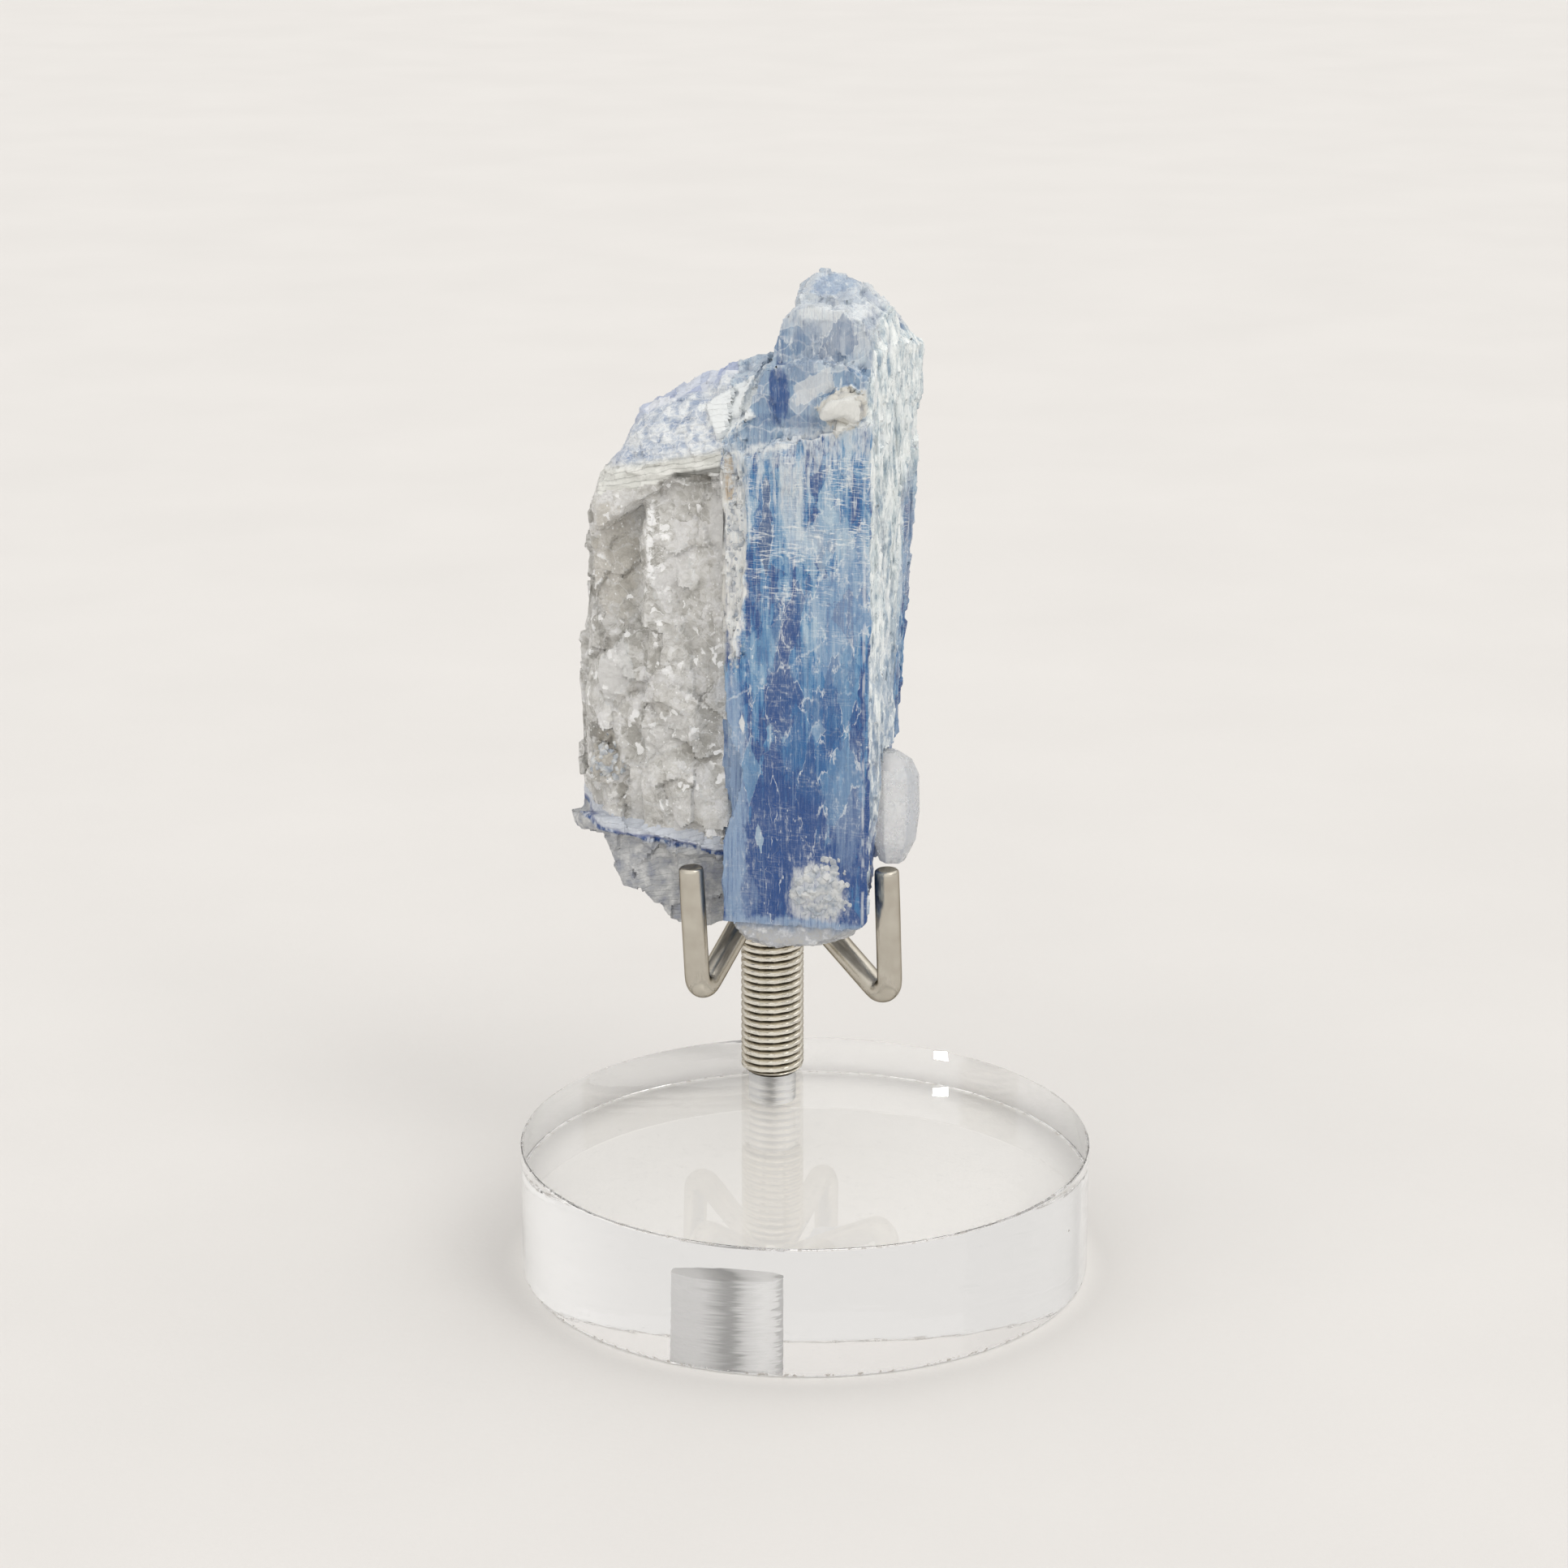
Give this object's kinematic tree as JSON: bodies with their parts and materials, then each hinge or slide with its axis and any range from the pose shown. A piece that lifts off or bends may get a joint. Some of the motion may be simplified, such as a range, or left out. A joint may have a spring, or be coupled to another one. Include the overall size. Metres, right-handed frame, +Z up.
{
  "type": "kyanite specimen on display stand",
  "caption": "Upright bladed blue kyanite grown with milky quartz, held by bent steel wire prongs on a threaded rod in a clear round acrylic base.",
  "frame": {"origin": "centre of the clear base's underside", "axes": "+Z up along the specimen and the rod, front of the specimen towards -Y, +X to the viewer's right"},
  "size_m": [0.07, 0.0731, 0.121],
  "materials": {
    "clear_acrylic": "polished clear acrylic with faint scratches",
    "nickel_steel": "warm satin nickel-plated steel",
    "kyanite_quartz": "blue bladed kyanite with pearly striations, grown with grey-white milky quartz"
  },
  "bodies": {
    "root": {"acrylic_base": "clear_acrylic", "threaded_rod": "nickel_steel", "front_left_prong": "nickel_steel", "front_right_prong": "nickel_steel", "rear_left_prong": "nickel_steel", "rear_right_prong": "nickel_steel", "kyanite_specimen": "kyanite_quartz"}
  },
  "joints": []
}
